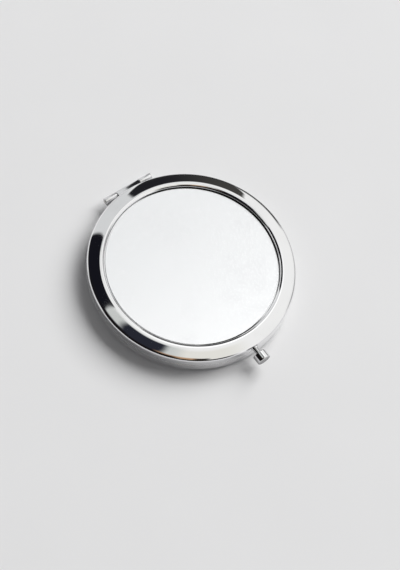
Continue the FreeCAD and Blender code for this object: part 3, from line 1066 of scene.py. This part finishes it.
piece("riveted_pin", "hinge_pin", riveted_pin(), STEEL)
piece("turned_button", "push_button", turned_button(), BUTTON_POLISH)
piece("flanged_bush", "button_bush", flanged_bush(), CHROME)
piece("hook_pair", "catch_hook", hook_pair(), STEEL)
piece("tongued_plate", "latch_plate", tongued_plate(), STEEL)
piece("spigot_washer", "retaining_washer", spring_washer(), STEEL)
piece("spring_seat", "spring_bracket", seat_bracket(), STEEL)
spring = piece("coil_spring", "button_spring", coil(), STEEL)
SPRING_LOW, SPRING_HIGH = corners("button_spring")
1 - JOINT["button_press"]["range_m"][1] / MM / (SPRING_HIGH.y - SPRING_LOW.y)
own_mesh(spring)


def pale_floor():
    """Large matt floor with a faint mottle, not part of the object."""
    drop = 0.02
    mesh = bmesh.new()
    bmesh.ops.create_grid(mesh, x_segments=1, y_segments=1, size=4.0)
    bmesh.ops.translate(mesh, verts=mesh.verts, vec=(0, 0, -drop * MM))
    data = bpy.data.meshes.new("floor")
    mesh.to_mesh(data)
    mesh.free()
    matt = surface("floor_paper")
    mottle = matt.noise(25, 3.0)
    matt.fill(
        matt.shader,
        {
            "Base Color": matt.mix(mottle, *FLOOR_TONES),
            "Roughness": 0.7 + mottle * 0.1,
        },
    )
    data.materials.append(matt.owner)
    floor = bpy.data.objects.new("floor", data)
    bpy.context.scene.collection.objects.link(floor)


@dataclass
class Flag:
    """Patch of the studio, placed in degrees by the part of the rim that mirrors it to the front.

    The middle and half are round the rim, and low and high are the rim's slope.
    """

    middle: float
    half: float
    low: float
    high: float
    soft: tuple  # at the sides, the foot and the top
    colour: tuple
    narrowing: float = 0.0  # downwards, at both sides
    lean: float = 0.0  # downwards, from one side to the other
    slant: float = 0.0  # of the top
    start_colour: tuple = ()  # at the side that comes first


# A later flag covers the ones before it
FLAGS = [
    Flag(238, 22, 60, 82.0, (12.0, 4.0, 5.0), (0.86, 0.85, 0.79, 1)),
    Flag(199, 26, 56, 85.0, (6.0, 4.0, 5.0), (0.645, 0.665, 0.645, 1)),
    Flag(112, 20, 58, 88.0, (4.0, 4.0, 1.0), (0.72, 0.73, 0.73, 1)),
    Flag(97, 9, 44, 60.0, (3.0, 5.0, 6.0), (0.55, 0.55, 0.55, 1)),
    Flag(-30, 28, 40, 61.0, (8.0, 5.0, 6.0), (0.22, 0.22, 0.225, 1)),
    Flag(12, 18, 40, 67.0, (5.0, 5.0, 2.0), (0.02, 0.02, 0.02, 1)),
    Flag(
        58.7,
        36.8,
        50,
        84.0,
        (1.5, 5.0, 0.8),
        (0.016, 0.016, 0.019, 1),
        narrowing=1.5,
        slant=-0.0034,
        start_colour=(0.058, 0.056, 0.052, 1),
    ),
    Flag(56, 27.5, 44, 66.0, (1.5, 5.0, 3.0), (0.03, 0.03, 0.03, 1)),
    Flag(150.25, 24.05, 51, 84.85, (1.5, 3.0, 0.6), (0.008, 0.008, 0.012, 1), lean=-0.4, slant=0.004),
    Flag(202.05, 14.75, 50, 82.0, (3.0, 5.0, 1.2), (0.022, 0.024, 0.034, 1), narrowing=0.12),
    Flag(225, 12, 53, 65.6, (3.0, 3.0, 1.2), (0.5, 0.31, 0.18, 1)),
    Flag(238.5, 3, 50, 65.2, (3.0, 3.0, 1.2), (0.02, 0.018, 0.015, 1)),
    Flag(235, 22, 26, 55.0, (5.0, 8.0, 3.0), (0.03, 0.025, 0.02, 1)),
    Flag(172, 20, 42, 66.5, (4.0, 4.0, 1.5), (0.008, 0.008, 0.01, 1)),
    Flag(200, 24, 24, 64.0, (3.0, 8.0, 2.0), (0.008, 0.007, 0.007, 1)),
]
LEAST_HALF = 0.5
NARROWS_BELOW = 0.953
LEANS_ABOUT = 0.96
START_TO_MAIN = (-0.5, 0.3)

# Light of the studio; the overhead part is split by a line that faces the bright side
BRIGHT_SIDE = direction(262)
SPLIT = (-0.03, 0.05)
OVERHEAD = (0.9975, 0.9992)
OVERHEAD_DIM = (0.81, 0.815, 0.81, 1.0)
OVERHEAD_BRIGHT = (1.36, 1.36, 1.35, 1.0)
WALLS = (0.98, 0.98, 0.965, 1.0)
SOFT_LIGHT = (0.18, 0.18, 0.185, 1.0)
BACKDROP = (1.0, 1.0, 1.0, 1.0)


def flagged(room, seen, flag, level, height):
    """What a ray meets with one more flag in its way.

    The slope that mirrors the ray is given by its level direction and its height.
    """
    across = room.dot(level, direction(flag.middle))
    aside = room.dot(level, direction(flag.middle + 90))
    side_soft, foot_soft, top_soft = flag.soft
    narrowed = room.maths("MINIMUM", height - NARROWS_BELOW, 0.0) * flag.narrowing
    spread = across + narrowed + (height - LEANS_ABOUT) * aside * flag.lean
    least = max(flag.half - side_soft, LEAST_HALF)
    wide = room.band(spread, cosine(flag.half + side_soft), cosine(least))
    above_foot = room.band(height, sine(flag.low - foot_soft), sine(flag.low + foot_soft))
    slanted = height + aside * flag.slant
    above_top = room.band(slanted, sine(flag.high - top_soft), sine(flag.high + top_soft))
    colour = flag.colour
    if flag.start_colour:
        colour = room.mix(room.band(aside, *START_TO_MAIN), flag.start_colour, colour)
    return room.mix(wide * (above_foot - above_top), seen, colour)


def studio():
    """White room for soft light; metal also sees a few dark flags in it."""
    world = bpy.data.worlds.new("studio")
    bpy.context.scene.world = world
    room = Finish(world, "Background")
    ray = room.add("ShaderNodeTexCoord", {}, {}, "Generated")
    slope = room.vector("NORMALIZE", {0: room.vector("ADD", {0: ray, 1: VIEW_BACK})})
    level = room.vector("NORMALIZE", {0: room.flattened(slope, FROM_ABOVE)})
    height = room.dot(slope, (0, 0, 1))
    side = room.dot(slope, BRIGHT_SIDE)
    overhead = room.mix(room.band(side, *SPLIT), OVERHEAD_DIM, OVERHEAD_BRIGHT)
    seen = room.mix(room.band(height, *OVERHEAD), WALLS, overhead)
    for flag in FLAGS:
        seen = flagged(room, seen, flag, level, height)
    glossy = room.add("ShaderNodeLightPath", {}, {}, "Is Glossy Ray")
    direct = room.add("ShaderNodeLightPath", {}, {}, "Is Camera Ray")
    lit = room.mix(glossy, SOFT_LIGHT, seen)
    room.fill(room.shader, {"Color": room.mix(direct, lit, BACKDROP), "Strength": 1.0})


def softbox(name, azimuth, elevation, distance, size, power):
    """Square soft lamp that points at the object and isn't mirrored in the metal."""
    lamp = bpy.data.lights.new(name, "AREA")
    lamp.size = size
    lamp.energy = power
    made = bpy.data.objects.new(name, lamp)
    way = direction(azimuth, elevation)
    made.location = way * distance
    made.rotation_euler = way.to_track_quat("Z", "Y").to_euler()
    made.visible_glossy = False
    bpy.context.scene.collection.objects.link(made)


def camera():
    """Camera at the photograph's angle, roll and framing."""
    level = direction(VIEW_AZIMUTH)
    up = VIEW_BACK.cross(level)
    right = cosine(VIEW_ROLL) * level + sine(VIEW_ROLL) * up
    top = cosine(VIEW_ROLL) * up - sine(VIEW_ROLL) * level
    across = (VIEW_PIXEL[0] - IMAGE[0] / 2) / PIXELS_PER_MM
    down = (VIEW_PIXEL[1] - IMAGE[1] / 2) / PIXELS_PER_MM
    spot = Vector((0, 0, VIEW_POINT_Z)) + VIEW_BACK * VIEW_DISTANCE - right * across + top * down
    lens = bpy.data.cameras.new("front")
    lens.sensor_width = SENSOR
    lens.lens = PIXELS_PER_MM * VIEW_DISTANCE * SENSOR / IMAGE[1]
    lens.clip_start = 0.01
    made = bpy.data.objects.new("front", lens)
    turn = Matrix((right, top, VIEW_BACK)).transposed().to_4x4()
    made.matrix_world = Matrix.Translation(spot * MM) @ turn
    bpy.context.scene.collection.objects.link(made)
    bpy.context.scene.camera = made


pale_floor()
studio()
softbox("key", azimuth=6, elevation=46, distance=5.0, size=3.9, power=310.0)
camera()
bpy.context.scene.view_settings.view_transform = "Standard"
